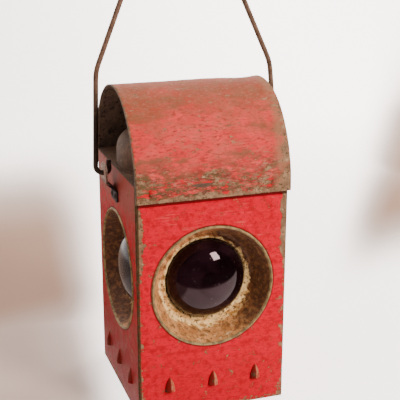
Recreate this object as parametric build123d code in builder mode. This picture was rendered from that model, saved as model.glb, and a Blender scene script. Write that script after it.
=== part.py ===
from build123d import *
import os
from math import atan, atan2, cos, degrees, radians, sin

# Square sheet-steel hand and road lantern with a hinged barrel hood, four
# recessed bull's-eye lenses and an oil font.  Millimetres, +Z up.
# Origin: centre of the underside.  Front face looks along -Y.

# ---------------------------------------------------------------- driving sizes
SHEET = 1.0                  # body, hood and lid sheet
BODY_WIDTH = 152.0           # square body, outside
BODY_HEIGHT = 237.0          # base to the open top edge
BODY_CORNER = 2.4            # outside bend radius of the upright corners
HEM_HEIGHT = 6.0             # folded edge round the top of the body

BASE_UPSTAND = 12.0          # turned-up rim of the base pan
SEAT_GAP = 0.2               # air between pieces that only rest on each other
FIT = 0.2                    # clearance between glass and metal, and in the burner

PAN_MARGIN = 16.5            # mouth of the lens pan to the edge of the body
PAN_TAPER = 10.5             # how much narrower the pan is at its floor
PAN_DEPTH = 25.0             # face of the body to the pan floor
PAN_BEAD = 2.6               # width of the rolled rim round the mouth
PAN_BEAD_RISE = 1.43
PAN_CLEAR = 1.9              # rolled rim below the foot of the hinge
PAN_BACK_STEP = 0.8          # floor's back edge outside its front edge
LENS_MARGIN = 8.0            # glass to the edge of the pan floor
LENS_RECESS = 2.0            # crown of the glass below the body face
LENS_FLANGE = 3.0            # how far the glass flange runs under the floor
LENS_FLANGE_DEPTH = 3.0      # thickness of that flange
LENS_RING_MARGIN = 2.0       # retaining ring inside the edge of the pan floor
SEAT_BEAD = 4.2              # width of the raised bead round the glass
SEAT_BEAD_RISE = 1.68

LOUVRE_EDGE = 31.2           # outer louvres to the edge of the body
LOUVRE_BOTTOM = 25.6
LOUVRE_HEIGHT = 16.0
LOUVRE_HALF_WIDTH = 5.4
LOUVRE_BULGE = 4.2
LOUVRE_WALL = 0.8            # sheet left where the louvre is drawn out
LOUVRE_WAIST = 0.55          # share of the height where it narrows faster
LOUVRE_WAIST_SHARE = 0.72    # size there, as a share of the foot
LOUVRE_TIP_SHARE = 0.1       # size at the top

HOOD_OVERHANG = 5.0          # skirt in front of the body face
HOOD_END = 1.0               # end of the hood past the body side
HOOD_LAP = 14.6              # skirt down over the body
HOOD_CROWN = 12.0            # how much higher the arch is than a half round
HOOD_FLANK_REACH = 22.3      # flank arc centres lie this far past the middle
HOOD_HEM = 3.6               # folded edge on the ends and skirts

LID_GAP = 0.3                # lid plate above the top edge of the body
LID_FLANGE_DROP = 12.0       # lid flange down inside the skirt
DOME_MARGIN = 4.0            # foot of the dome to the edge of the body
DOME_WALL = 14.0             # straight side of the dome
DOME_SHOULDER = 18.0         # radius of its shoulder
DOME_TURN = 60.0             # degrees the shoulder turns through
DOME_FLANGE = 3.0
DOME_VENT_RADIUS = 4.0
DOME_VENT_REACH = 34.0       # vents from the axis
DOME_VENTS = 8

RIVET_SHANK = 2.0
RIVET_HEAD = 4.0
RIVET_DOME = 1.7
RIVET_TAIL = 3.0
RIVET_TAIL_DOME = 0.9
RIVET_HOLE = RIVET_SHANK + 0.05
RIVET_REACH = 8.0            # length of the cut that makes a rivet's holes
HOOD_RIVET_INSET = 16.0      # skirt rivets from the edge of the body
HOOD_RIVET_RISE = 9.6        # above the skirt's lower edge

PIVOT_DROP = 4.0             # bail pivot below the top of the body
EAR_WIDTH = 22.0
EAR_SHEET = 2.0
EAR_STAND = 10.0             # upright part of the ear, off the body side
EAR_TOP_RISE = 10.0          # above the pivot
EAR_FLARE_DROP = 17.0        # where it leaves the body side, below the pivot
EAR_FLARE_RISE = 8.5
EAR_FOOT_DROP = 29.0
EAR_BEND = 3.0
EAR_ROUND = 9.0              # rounding of its upper corners
EAR_RIVET_DROP = 23.0
EAR_RIVET_SPREAD = 5.5

WIRE_RADIUS = 2.5
WIRE_PLAY = 0.3              # wire in the ear hole
BAIL_LEAN = 6.0              # degrees back from upright, as it stands
BAIL_TIP_INSET = 4.0         # upturned tip inside the ear
BAIL_TIP_RISE = 12.5
BAIL_FOOT_OUTSET = 9.5       # leg outside the ear at the pivot
BAIL_LEG_INWARD = 5.6        # how far the leg has come in at its knee
BAIL_KNEE_RISE = 98.4        # knee above the pivot
BAIL_LEG_SLOPE = 0.424       # inward run per rise above the knee
BAIL_TOP_BEND = 38.0
BAIL_KNEE_BEND = 45.0
BAIL_FOOT_BEND = 7.0
BAIL_TIP_BEND = 3.5

HINGE_DROP = 3.4             # pin below the skirt
HINGE_PIN = 2.0
HINGE_PIN_ROUND = 0.6
HINGE_PLAY = 0.05
HINGE_SHEET = 1.2
HINGE_HALF_WIDTH = 30.0
HINGE_KNUCKLES = 5
HINGE_SIDE_PLAY = 0.3
HINGE_LEAF_DROP = 24.0       # body leaf below the pin
HINGE_LEAF_RISE = 21.0       # hood leaf above the pin
HINGE_JOG_DROP = 12.0        # where the body leaf turns out to its knuckles
HINGE_JOG_SKEW = 0.5         # outer face of that turn below its inner face
HINGE_NOTCH_BELOW = 3.5      # body leaf cut away under the hood's knuckles
HINGE_NOTCH_ABOVE = 0.6      # hood leaf cut away over the body's knuckles
HINGE_NOTCH_DEPTH = 40.0
HINGE_RIVET_REACH = 20.0
HINGE_RIVET_RISE = 5.5       # above the foot of the body leaf

FONT_RADIUS = 42.0
FONT_SHEET = 0.8
FONT_SIDE = 69.0             # straight side of the font
FONT_SHOULDER = 8.0          # rise of its domed top
FONT_SEAT_WALL = 12.0
FONT_SEAT_PLAY = 0.8
COLLAR_RADIUS = 15.0
COLLAR_BORE = 12.5
COLLAR_HEIGHT = 5.0
BURNER_RADIUS = 17.0
BURNER_HEIGHT = 13.0
BURNER_SHEET = 0.8
BURNER_PLUG = 6.0            # screwed spigot down inside the collar
BURNER_HOLE = 1.2
BURNER_HOLES = 12
BURNER_HOLE_DROP = 3.0       # air holes below the burner's rim
CONE_HEIGHT = 11.0
CONE_SLOT_PLAY = 0.5
WICK_WIDTH = 15.0
WICK_THICKNESS = 1.6
WICK_TUBE_WALL = 0.7
WICK_TUBE_RISE = 6.6         # tube above the burner's rim
WICK_PLAY = 0.3
WICK_TUBE_BELOW = 14.0
WICK_SHOWS = 3.0
WICK_HANG = 46.0             # lower end of the wick below the font's shoulder
SPINDLE_RADIUS = 1.0
SPINDLE_RISE = 6.0           # above the burner floor
SPROCKET_RADIUS = 2.8
SPROCKET_WIDTH = 2.6
SPROCKET_REACH = 4.5
SPROCKET_TEETH = 10
TOOTH_HEIGHT = 0.6
TOOTH_LENGTH = 1.1
TOOTH_WIDTH = 0.7
KNOB_RADIUS = 7.0
KNOB_WIDTH = 3.2
KNOB_PLACE = 31.0
KNOB_NOTCH = 0.5
KNOB_NOTCHES = 16
FILLER_PLACE = 28.5          # in front of the burner
FILLER_RADIUS = 6.5
FILLER_HEIGHT = 9.0
CAP_GRIP = 4.05              # how far the cap comes down over the neck
CAP_WALL = 0.9
CAP_PLAY = 0.3
CAP_SEAL = 1.2

# ---------------------------------------------------------------- worked out
HALF = BODY_WIDTH / 2
CHAMBER = BODY_WIDTH - 2 * SHEET
SIDES = {"front": 0, "right": 90, "rear": 180, "left": 270}
QUARTER = 90.0

HOOD_HALF_DEPTH = HALF + HOOD_OVERHANG
HOOD_HALF_LENGTH = HALF + HOOD_END
HOOD_BOTTOM = BODY_HEIGHT - HOOD_LAP
HOOD_SPRING = HOOD_BOTTOM + HOOD_HEM
HOOD_RISE = HOOD_HALF_DEPTH + HOOD_CROWN
HOOD_RIVET_HEIGHT = HOOD_BOTTOM + HOOD_RIVET_RISE
HINGE_HEIGHT = HOOD_BOTTOM - HINGE_DROP
HINGE_FOOT = HINGE_HEIGHT - HINGE_LEAF_DROP

PAN_RIM_RADIUS = HALF - PAN_MARGIN
PAN_FLOOR_RADIUS = PAN_RIM_RADIUS - PAN_TAPER
LENS_RADIUS = PAN_FLOOR_RADIUS - LENS_MARGIN
LENS_HEIGHT = HINGE_FOOT - PAN_CLEAR - PAN_BEAD - PAN_RIM_RADIUS
LOUVRE_PITCH = HALF - LOUVRE_EDGE

PIVOT_HEIGHT = BODY_HEIGHT - PIVOT_DROP
EAR_FACE = HALF + EAR_STAND
EAR_FLARE = PIVOT_HEIGHT - EAR_FLARE_DROP
DOME_RADIUS = HALF - DOME_MARGIN

os.makedirs("parts", exist_ok=True)


def save(part, name):
    part.label = name
    export_step(part, f"parts/{name}.step")


def face_plane(turn, height, reach=HALF):
    """Plane on one side of the body: X along the side, Z pointing into the body."""
    a = radians(turn)
    return Plane(
        origin=(reach * sin(a), -reach * cos(a), height),
        x_dir=(cos(a), sin(a), 0),
        z_dir=(-sin(a), cos(a), 0),
    )


def axis_section(plane):
    """Plane holding that side's axis: X is the radius, Y the depth into the body."""
    return Plane(origin=plane.origin, x_dir=plane.x_dir, z_dir=plane.x_dir.cross(plane.z_dir))


def cap_curve(radius, height):
    """Radius of the sphere whose cap has this base radius and height."""
    return (radius**2 + height**2) / (2 * height)


def rivet(grip):
    """Round-headed rivet along +Z, head at and below 0, clenched at the grip."""
    with BuildPart() as made:
        with BuildSketch(Plane.XZ):
            with BuildLine():
                Line((0, -RIVET_DOME), (0, grip + RIVET_TAIL_DOME))
                RadiusArc(
                    (0, grip + RIVET_TAIL_DOME),
                    (RIVET_TAIL, grip),
                    cap_curve(RIVET_TAIL, RIVET_TAIL_DOME),
                )
                Polyline((RIVET_TAIL, grip), (RIVET_SHANK, grip), (RIVET_SHANK, 0), (RIVET_HEAD, 0))
                RadiusArc((RIVET_HEAD, 0), (0, -RIVET_DOME), cap_curve(RIVET_HEAD, RIVET_DOME))
            make_face()
        revolve(axis=Axis.Z)
    return made.part


# ---------------------------------------------------------------- rivet places
hood_rivet_front = [
    face_plane(0, HOOD_RIVET_HEIGHT, HOOD_HALF_DEPTH).location * Location((x, 0, 0))
    for x in (HOOD_RIVET_INSET - HALF, HALF - HOOD_RIVET_INSET)
]
hood_rivet_rear = [
    face_plane(180, HOOD_RIVET_HEIGHT, HOOD_HALF_DEPTH).location * Location((x, 0, 0))
    for x in (HOOD_RIVET_INSET - HALF, HALF - HOOD_RIVET_INSET)
]
hood_leaf_rivets = [
    face_plane(180, HOOD_RIVET_HEIGHT, HOOD_HALF_DEPTH + HINGE_SHEET).location * Location((x, 0, 0))
    for x in (-HINGE_RIVET_REACH, HINGE_RIVET_REACH)
]
body_leaf_rivets = [
    face_plane(180, HINGE_FOOT + HINGE_RIVET_RISE, HALF + HINGE_SHEET).location * Location((x, 0, 0))
    for x in (-HINGE_RIVET_REACH, HINGE_RIVET_REACH)
]
ear_rivet_places = [
    face_plane(turn, PIVOT_HEIGHT - EAR_RIVET_DROP, HALF + EAR_SHEET).location * Location((x, 0, 0))
    for turn in (90, 270)
    for x in (-EAR_RIVET_SPREAD, EAR_RIVET_SPREAD)
]


# ---------------------------------------------------------------- body shell
def louvre(half_width, bulge, height):
    """Rounded louvre form, open at its foot and drawn to a point at its top."""
    with BuildPart() as made:
        with BuildSketch(Plane.XY):
            Ellipse(half_width, bulge)
        with BuildSketch(Plane.XY.offset(height * LOUVRE_WAIST)):
            Ellipse(half_width * LOUVRE_WAIST_SHARE, bulge * LOUVRE_WAIST_SHARE)
        with BuildSketch(Plane.XY.offset(height)):
            Ellipse(half_width * LOUVRE_TIP_SHARE, bulge * LOUVRE_TIP_SHARE)
        loft()
    return made.part


louvre_out = louvre(LOUVRE_HALF_WIDTH, LOUVRE_BULGE, LOUVRE_HEIGHT)
louvre_in = louvre(
    LOUVRE_HALF_WIDTH - LOUVRE_WALL, LOUVRE_BULGE - LOUVRE_WALL, LOUVRE_HEIGHT - SHEET
)
louvre_places = [
    Location((0, 0, 0), (0, 0, turn)) * Location((shift * LOUVRE_PITCH, -HALF + SHEET / 2, 0))
    for turn in SIDES.values()
    for shift in (-1, 0, 1)
]

with BuildPart() as body_shell:
    with BuildSketch():
        RectangleRounded(BODY_WIDTH, BODY_WIDTH, BODY_CORNER)
    extrude(amount=BODY_HEIGHT)
    for place in louvre_places:
        add(place * Location((0, 0, LOUVRE_BOTTOM)) * louvre_out)
    with BuildSketch():
        RectangleRounded(CHAMBER, CHAMBER, BODY_CORNER - SHEET)
    extrude(amount=BODY_HEIGHT - HEM_HEIGHT, mode=Mode.SUBTRACT)
    with BuildSketch(Plane.XY.offset(BODY_HEIGHT - HEM_HEIGHT)):
        RectangleRounded(CHAMBER - 2 * SHEET, CHAMBER - 2 * SHEET, BODY_CORNER - SHEET)
    extrude(amount=HEM_HEIGHT, mode=Mode.SUBTRACT)
    for place in louvre_places:
        add(place * Location((0, 0, LOUVRE_BOTTOM - SHEET / 2)) * louvre_in, mode=Mode.SUBTRACT)
    for turn in SIDES.values():
        with BuildSketch(face_plane(turn, LENS_HEIGHT, HALF + SHEET)):
            Circle(PAN_RIM_RADIUS + SHEET + FIT)
        extrude(amount=3 * SHEET, mode=Mode.SUBTRACT)
    with Locations(*ear_rivet_places, *body_leaf_rivets):
        Cylinder(RIVET_HOLE, RIVET_REACH, mode=Mode.SUBTRACT)
save(body_shell.part, "body_shell")

# Base pan: flat bottom with a rim turned up inside the body.
with BuildPart() as base_pan:
    with BuildSketch():
        RectangleRounded(CHAMBER, CHAMBER, BODY_CORNER - SHEET)
    extrude(amount=BASE_UPSTAND)
    with BuildSketch(Plane.XY.offset(SHEET)):
        RectangleRounded(CHAMBER - 2 * SHEET, CHAMBER - 2 * SHEET, SHEET / 3)
    extrude(amount=BASE_UPSTAND, mode=Mode.SUBTRACT)
save(base_pan.part, "base_pan")

# Font seat: a shallow dish soldered to the base that keeps the font in the middle.
seat_radius = FONT_RADIUS + FONT_SEAT_PLAY
with BuildPart() as font_seat:
    with BuildSketch(Plane.XY.offset(SHEET)):
        Circle(seat_radius + SHEET)
    extrude(amount=FONT_SEAT_WALL)
    with BuildSketch(Plane.XY.offset(2 * SHEET)):
        Circle(seat_radius)
    extrude(amount=FONT_SEAT_WALL, mode=Mode.SUBTRACT)
    fillet(font_seat.edges().group_by(Axis.Z)[0], SHEET / 2)
save(font_seat.part, "font_seat")

# ---------------------------------------------------------------- lenses
floor_back = PAN_DEPTH + SHEET
lens_rise = floor_back - LENS_RECESS
flange_radius = LENS_RADIUS + LENS_FLANGE
flange_back = floor_back + LENS_FLANGE_DEPTH
seat_inner = LENS_RADIUS + FIT
seat_outer = seat_inner + SEAT_BEAD

for side, turn in SIDES.items():
    mouth = face_plane(turn, LENS_HEIGHT)
    section = axis_section(mouth)
    lens_axis = Axis(mouth.origin, mouth.z_dir)

    # Spun pan: rolled rim, sloping wall, flat floor and a bead round the glass.
    with BuildPart() as lens_pan:
        with BuildSketch(section):
            with BuildLine():
                ThreePointArc(
                    (PAN_RIM_RADIUS + PAN_BEAD, 0),
                    (PAN_RIM_RADIUS + PAN_BEAD / 2, -PAN_BEAD_RISE),
                    (PAN_RIM_RADIUS, 0),
                )
                Polyline(
                    (PAN_RIM_RADIUS, 0), (PAN_FLOOR_RADIUS, PAN_DEPTH), (seat_outer, PAN_DEPTH)
                )
                ThreePointArc(
                    (seat_outer, PAN_DEPTH),
                    (seat_outer - SEAT_BEAD / 2, PAN_DEPTH - SEAT_BEAD_RISE),
                    (seat_inner, PAN_DEPTH),
                )
                Polyline(
                    (seat_inner, PAN_DEPTH),
                    (seat_inner, floor_back),
                    (PAN_FLOOR_RADIUS + PAN_BACK_STEP, floor_back),
                    (PAN_RIM_RADIUS + SHEET, SHEET),
                    (PAN_RIM_RADIUS + SHEET, 0),
                    (PAN_RIM_RADIUS + PAN_BEAD, 0),
                )
            make_face()
        revolve(axis=lens_axis)
    save(lens_pan.part, f"lens_pan_{side}")

    # Pressed bull's-eye glass: domed outside, flat back, flange under the floor.
    with BuildPart() as lens:
        with BuildSketch(section):
            with BuildLine():
                Line((0, flange_back), (0, LENS_RECESS))
                EllipticalCenterArc((0, floor_back), LENS_RADIUS, lens_rise, -QUARTER, arc_size=QUARTER)
                Polyline(
                    (LENS_RADIUS, floor_back),
                    (flange_radius, floor_back),
                    (flange_radius, flange_back),
                    (0, flange_back),
                )
            make_face()
        revolve(axis=lens_axis)
    save(lens.part, f"lens_{side}")

    # Pressed ring that holds the glass from behind.
    ring_step = flange_radius + FIT
    with BuildPart() as lens_ring:
        with BuildSketch(section):
            with BuildLine():
                Polyline(
                    (ring_step, floor_back),
                    (PAN_FLOOR_RADIUS - LENS_RING_MARGIN, floor_back),
                    (PAN_FLOOR_RADIUS - LENS_RING_MARGIN, floor_back + SHEET),
                    (ring_step + SHEET, floor_back + SHEET),
                    (ring_step + SHEET, flange_back + SHEET),
                    (LENS_RADIUS - LENS_FLANGE, flange_back + SHEET),
                    (LENS_RADIUS - LENS_FLANGE, flange_back),
                    (ring_step, flange_back),
                    close=True,
                )
            make_face()
        revolve(axis=lens_axis)
    save(lens_ring.part, f"lens_ring_{side}")

# ---------------------------------------------------------------- ears and bail
for side, sign in (("left", -1), ("right", 1)):
    with BuildPart() as ear:
        with BuildSketch(Plane.XZ):
            with BuildLine():
                FilletPolyline(
                    (sign * HALF, PIVOT_HEIGHT - EAR_FOOT_DROP),
                    (sign * HALF, EAR_FLARE),
                    (sign * EAR_FACE, EAR_FLARE + EAR_FLARE_RISE),
                    (sign * EAR_FACE, PIVOT_HEIGHT + EAR_TOP_RISE),
                    radius=EAR_BEND,
                )
                offset(amount=EAR_SHEET, side=Side.LEFT if sign < 0 else Side.RIGHT)
            make_face()
        extrude(amount=EAR_WIDTH / 2, both=True)
        upper = ear.edges().filter_by(Axis.X).group_by(Axis.Z)[-1]
        fillet(upper, EAR_ROUND)
        lower = ear.edges().filter_by(Axis.X).group_by(Axis.Z)[0]
        fillet(lower, EAR_SHEET)
        with Locations(Location((sign * EAR_FACE, 0, PIVOT_HEIGHT), (0, QUARTER, 0))):
            Cylinder(WIRE_RADIUS + WIRE_PLAY, 4 * EAR_SHEET, mode=Mode.SUBTRACT)
        with Locations(*ear_rivet_places):
            Cylinder(RIVET_HOLE, RIVET_REACH, mode=Mode.SUBTRACT)
    save(ear.part, f"ear_{side}")

ear_rivet = rivet(EAR_SHEET + SHEET)
with BuildPart() as ear_rivets:
    with Locations(*ear_rivet_places):
        add(ear_rivet)
save(ear_rivets.part, "ear_rivets")

bail_plane = Plane(
    origin=(0, 0, PIVOT_HEIGHT),
    x_dir=(1, 0, 0),
    z_dir=(0, -cos(radians(BAIL_LEAN)), sin(radians(BAIL_LEAN))),
)
tip_reach = EAR_FACE - BAIL_TIP_INSET
foot_reach = EAR_FACE + BAIL_FOOT_OUTSET
knee_reach = foot_reach - BAIL_LEG_INWARD
bail_apex = BAIL_KNEE_RISE + knee_reach / BAIL_LEG_SLOPE
half_bail = [
    (tip_reach, BAIL_TIP_RISE),
    (tip_reach, 0),
    (foot_reach, 0),
    (knee_reach, BAIL_KNEE_RISE),
]
bail_bends = [BAIL_TIP_BEND, BAIL_FOOT_BEND, BAIL_KNEE_BEND]
with BuildPart() as bail_wire:
    with BuildLine(bail_plane) as bail_path:
        FilletPolyline(
            *[(-x, y) for x, y in half_bail],
            (0, bail_apex),
            *reversed(half_bail),
            radius=[*bail_bends, BAIL_TOP_BEND, *reversed(bail_bends)],
        )
    with BuildSketch(Plane(origin=bail_path.line @ 0, z_dir=bail_path.line % 0)):
        Circle(WIRE_RADIUS)
    sweep()
save(bail_wire.part, "bail_wire")

# ---------------------------------------------------------------- hood
excess = HOOD_HALF_DEPTH + HOOD_FLANK_REACH - HOOD_RISE
crown_lift = (HOOD_FLANK_REACH**2 - excess**2) / (2 * excess)
crown_radius = HOOD_RISE - crown_lift
flank_radius = HOOD_HALF_DEPTH + HOOD_FLANK_REACH
flank_turn = degrees(atan2(crown_lift, HOOD_FLANK_REACH))


def arch(inset):
    """Three-centred arch with straight skirts, drawn this far inside the hood's face."""
    y = HOOD_HALF_DEPTH - inset
    Line((-y, HOOD_BOTTOM), (-y, HOOD_SPRING))
    CenterArc((HOOD_FLANK_REACH, HOOD_SPRING), flank_radius - inset, 180, -flank_turn)
    CenterArc(
        (0, HOOD_SPRING + crown_lift), crown_radius - inset, 180 - flank_turn, 2 * flank_turn - 180
    )
    CenterArc((-HOOD_FLANK_REACH, HOOD_SPRING), flank_radius - inset, flank_turn, -flank_turn)
    Line((y, HOOD_SPRING), (y, HOOD_BOTTOM))


def arch_band(thickness):
    """Closed outline between the hood's face and a line this far inside it."""
    with BuildLine() as outline:
        arch(0)
        arch(thickness)
        Line((-HOOD_HALF_DEPTH, HOOD_BOTTOM), (thickness - HOOD_HALF_DEPTH, HOOD_BOTTOM))
        Line((HOOD_HALF_DEPTH, HOOD_BOTTOM), (HOOD_HALF_DEPTH - thickness, HOOD_BOTTOM))
    make_face(outline.edges())


with BuildPart() as hood_shell:
    with BuildSketch(Plane.YZ):
        arch_band(SHEET)
    extrude(amount=HOOD_HALF_LENGTH, both=True)
    for end in (-HOOD_HALF_LENGTH, HOOD_HALF_LENGTH - HOOD_HEM):
        with BuildSketch(Plane.YZ.offset(end)):
            arch_band(2 * SHEET)
        extrude(amount=HOOD_HEM)
    for y in (-1, 1):
        hem_middle = y * (HOOD_HALF_DEPTH - SHEET)
        with Locations((0, hem_middle, HOOD_BOTTOM + HOOD_HEM / 2)):
            Box(2 * HOOD_HALF_LENGTH, 2 * SHEET, HOOD_HEM)
    with Locations(*hood_rivet_front, *hood_rivet_rear, *hood_leaf_rivets):
        Cylinder(RIVET_HOLE, RIVET_REACH, mode=Mode.SUBTRACT)
save(hood_shell.part, "hood_shell")

# Lid plate: rests over the open top; its flanges are riveted inside the skirts.
lid_under = BODY_HEIGHT + LID_GAP
lid_top = lid_under + SHEET
lid_low = lid_top - LID_FLANGE_DROP


def arch_reach(height, inset):
    """Distance from the middle to the flank of the arch, this far inside its face."""
    return ((flank_radius - inset) ** 2 - (height - HOOD_SPRING) ** 2) ** 0.5 - HOOD_FLANK_REACH


with BuildPart() as lid_pan:
    with BuildSketch(Plane.YZ):
        with BuildLine():
            FilletPolyline(
                (-arch_reach(lid_low, SHEET), lid_low),
                (-arch_reach(lid_top, SHEET), lid_top),
                (arch_reach(lid_top, SHEET), lid_top),
                (arch_reach(lid_low, SHEET), lid_low),
                radius=2 * SHEET,
            )
            offset(amount=SHEET, side=Side.RIGHT)
        make_face()
    extrude(amount=HOOD_HALF_LENGTH - HOOD_HEM - LID_GAP, both=True)
    with BuildSketch(Plane.XY.offset(lid_under)):
        RectangleRounded(BODY_WIDTH, BODY_WIDTH, BODY_CORNER)
    extrude(amount=SHEET)
    with BuildSketch(Plane.XY.offset(lid_under)):
        Circle(DOME_RADIUS - DOME_FLANGE)
    extrude(amount=SHEET, mode=Mode.SUBTRACT)
    with Locations(*hood_rivet_front, *hood_rivet_rear, *hood_leaf_rivets):
        Cylinder(RIVET_HOLE, RIVET_REACH, mode=Mode.SUBTRACT)
save(lid_pan.part, "lid_pan")

# Inner dome: a spun cap over the flame, vented round its crown.
dome_foot = lid_top
dome_bend = dome_foot + DOME_WALL
crown_start = DOME_RADIUS - DOME_SHOULDER * (1 - cos(radians(DOME_TURN)))
dome_crown = crown_start / cos(radians(DOME_TURN))
crown_centre = dome_bend + (DOME_SHOULDER - dome_crown) * sin(radians(DOME_TURN))
with BuildPart() as inner_dome:
    with BuildSketch(Plane.XZ):
        with BuildLine() as dome_section:
            for inset in (0, SHEET):
                reach = DOME_RADIUS - inset
                Line((reach, dome_foot), (reach, dome_bend))
                CenterArc((DOME_RADIUS - DOME_SHOULDER, dome_bend), DOME_SHOULDER - inset, 0, DOME_TURN)
                CenterArc((0, crown_centre), dome_crown - inset, DOME_TURN, QUARTER - DOME_TURN)
            Line((DOME_RADIUS, dome_foot), (DOME_RADIUS - SHEET, dome_foot))
            Line((0, crown_centre + dome_crown), (0, crown_centre + dome_crown - SHEET))
        make_face(dome_section.edges())
        with Locations((DOME_RADIUS + (DOME_FLANGE - SHEET) / 2, dome_foot + SHEET / 2)):
            Rectangle(DOME_FLANGE + SHEET, SHEET)
    revolve(axis=Axis.Z)
    with PolarLocations(DOME_VENT_REACH, DOME_VENTS):
        with Locations((0, 0, crown_centre + dome_crown)):
            Cylinder(DOME_VENT_RADIUS, DOME_SHOULDER, mode=Mode.SUBTRACT)
save(inner_dome.part, "inner_dome")

flange_in = arch_reach(lid_low, SHEET) - arch_reach(lid_top, SHEET)
flange_lean = atan(flange_in / LID_FLANGE_DROP)
clench_drop = HOOD_RIVET_HEIGHT + RIVET_TAIL - lid_low
clench_face = (
    arch_reach(lid_low, SHEET) - flange_in * clench_drop / LID_FLANGE_DROP - SHEET / cos(flange_lean)
)
skirt_rivet = rivet(HOOD_HALF_DEPTH - clench_face)
leaf_rivet = rivet(HOOD_HALF_DEPTH - clench_face + HINGE_SHEET)
with BuildPart() as hood_rivets:
    with Locations(*hood_rivet_front, *hood_rivet_rear):
        add(skirt_rivet)
    with Locations(*hood_leaf_rivets):
        add(leaf_rivet)
save(hood_rivets.part, "hood_rivets")

# ---------------------------------------------------------------- hinge
knuckle = HINGE_PIN + HINGE_SHEET
pin_y = HOOD_HALF_DEPTH + knuckle
segment = 2 * HINGE_HALF_WIDTH / HINGE_KNUCKLES
leaf_jog = HINGE_HEIGHT - HINGE_JOG_DROP
leaf_full = HINGE_HEIGHT - knuckle - HINGE_NOTCH_BELOW
hood_leaf_full = HINGE_HEIGHT + knuckle + HINGE_NOTCH_ABOVE


def knuckle_cuts(first, low, high):
    """Notches between low and high that leave every second knuckle, from the first."""
    for i in range(HINGE_KNUCKLES):
        if i % 2 != first:
            middle = -HINGE_HALF_WIDTH + (i + 0.5) * segment
            with Locations((middle, pin_y, (low + high) / 2)):
                Box(segment + 2 * HINGE_SIDE_PLAY, HINGE_NOTCH_DEPTH, high - low, mode=Mode.SUBTRACT)


with BuildPart() as hinge_leaf_body:
    with BuildSketch(Plane.YZ):
        with BuildLine():
            Polyline(
                (HALF, HINGE_FOOT),
                (HALF + HINGE_SHEET, HINGE_FOOT),
                (HALF + HINGE_SHEET, leaf_jog - HINGE_JOG_SKEW),
                (pin_y, HINGE_HEIGHT - knuckle),
                (pin_y - knuckle, HINGE_HEIGHT),
                (HALF, leaf_jog),
                close=True,
            )
        make_face()
        with Locations((pin_y, HINGE_HEIGHT)):
            Circle(knuckle)
            Circle(HINGE_PIN + HINGE_PLAY, mode=Mode.SUBTRACT)
    extrude(amount=HINGE_HALF_WIDTH, both=True)
    knuckle_cuts(0, leaf_full, HINGE_HEIGHT + 2 * knuckle)
    with Locations(*body_leaf_rivets):
        Cylinder(RIVET_HOLE, RIVET_REACH, mode=Mode.SUBTRACT)
save(hinge_leaf_body.part, "hinge_leaf_body")

with BuildPart() as hinge_leaf_hood:
    with BuildSketch(Plane.YZ):
        with Locations((HOOD_HALF_DEPTH + HINGE_SHEET / 2, HINGE_HEIGHT + HINGE_LEAF_RISE / 2)):
            Rectangle(HINGE_SHEET, HINGE_LEAF_RISE)
        with Locations((pin_y, HINGE_HEIGHT)):
            Circle(knuckle)
            Circle(HINGE_PIN + HINGE_PLAY, mode=Mode.SUBTRACT)
    extrude(amount=HINGE_HALF_WIDTH, both=True)
    knuckle_cuts(1, HINGE_HEIGHT - 2 * knuckle, hood_leaf_full)
    with Locations(*hood_leaf_rivets):
        Cylinder(RIVET_HOLE, RIVET_REACH, mode=Mode.SUBTRACT)
save(hinge_leaf_hood.part, "hinge_leaf_hood")

with BuildPart() as hinge_pin:
    with BuildSketch(Plane.YZ.offset(-HINGE_HALF_WIDTH - 1)):
        with Locations((pin_y, HINGE_HEIGHT)):
            Circle(HINGE_PIN)
    extrude(amount=2 * HINGE_HALF_WIDTH + 2)
    fillet(hinge_pin.edges().filter_by(GeomType.CIRCLE), HINGE_PIN_ROUND)
save(hinge_pin.part, "hinge_pin")

hinge_rivet = rivet(SHEET + HINGE_SHEET)
with BuildPart() as hinge_rivets:
    with Locations(*body_leaf_rivets):
        add(hinge_rivet)
save(hinge_rivets.part, "hinge_rivets")

# ---------------------------------------------------------------- font and burner
font_foot = 2 * SHEET + SEAT_GAP
font_spring = font_foot + FONT_SIDE
font_top = font_spring + FONT_SHOULDER
shoulder_curve = cap_curve(FONT_RADIUS, FONT_SHOULDER)


def shoulder_height(radius):
    """Height of the font's domed top at this distance from its axis."""
    return font_top - shoulder_curve + (shoulder_curve**2 - radius**2) ** 0.5


with BuildPart() as font_tank:
    with BuildSketch(Plane.XZ):
        with BuildLine():
            Polyline((0, font_top), (0, font_foot), (FONT_RADIUS, font_foot), (FONT_RADIUS, font_spring))
            RadiusArc((FONT_RADIUS, font_spring), (0, font_top), -shoulder_curve)
        make_face()
    revolve(axis=Axis.Z)
    with BuildSketch(Plane.XZ):
        with BuildLine():
            tank_inside = FONT_RADIUS - FONT_SHEET
            Polyline(
                (0, font_top - FONT_SHEET),
                (0, font_foot + FONT_SHEET),
                (tank_inside, font_foot + FONT_SHEET),
                (tank_inside, font_spring - FONT_SHEET),
            )
            RadiusArc(
                (tank_inside, font_spring - FONT_SHEET), (0, font_top - FONT_SHEET), -shoulder_curve
            )
        make_face()
    revolve(axis=Axis.Z, mode=Mode.SUBTRACT)
    with Locations((0, 0, font_top)):
        Cylinder(COLLAR_RADIUS, 2 * FONT_SHOULDER, mode=Mode.SUBTRACT)
    with Locations((0, -FILLER_PLACE, font_top)):
        Cylinder(FILLER_RADIUS, 2 * FONT_SHOULDER, mode=Mode.SUBTRACT)
    fillet(font_tank.edges().filter_by(GeomType.CIRCLE).group_by(Axis.Z)[0], FONT_SHEET)
save(font_tank.part, "font_tank")

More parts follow.
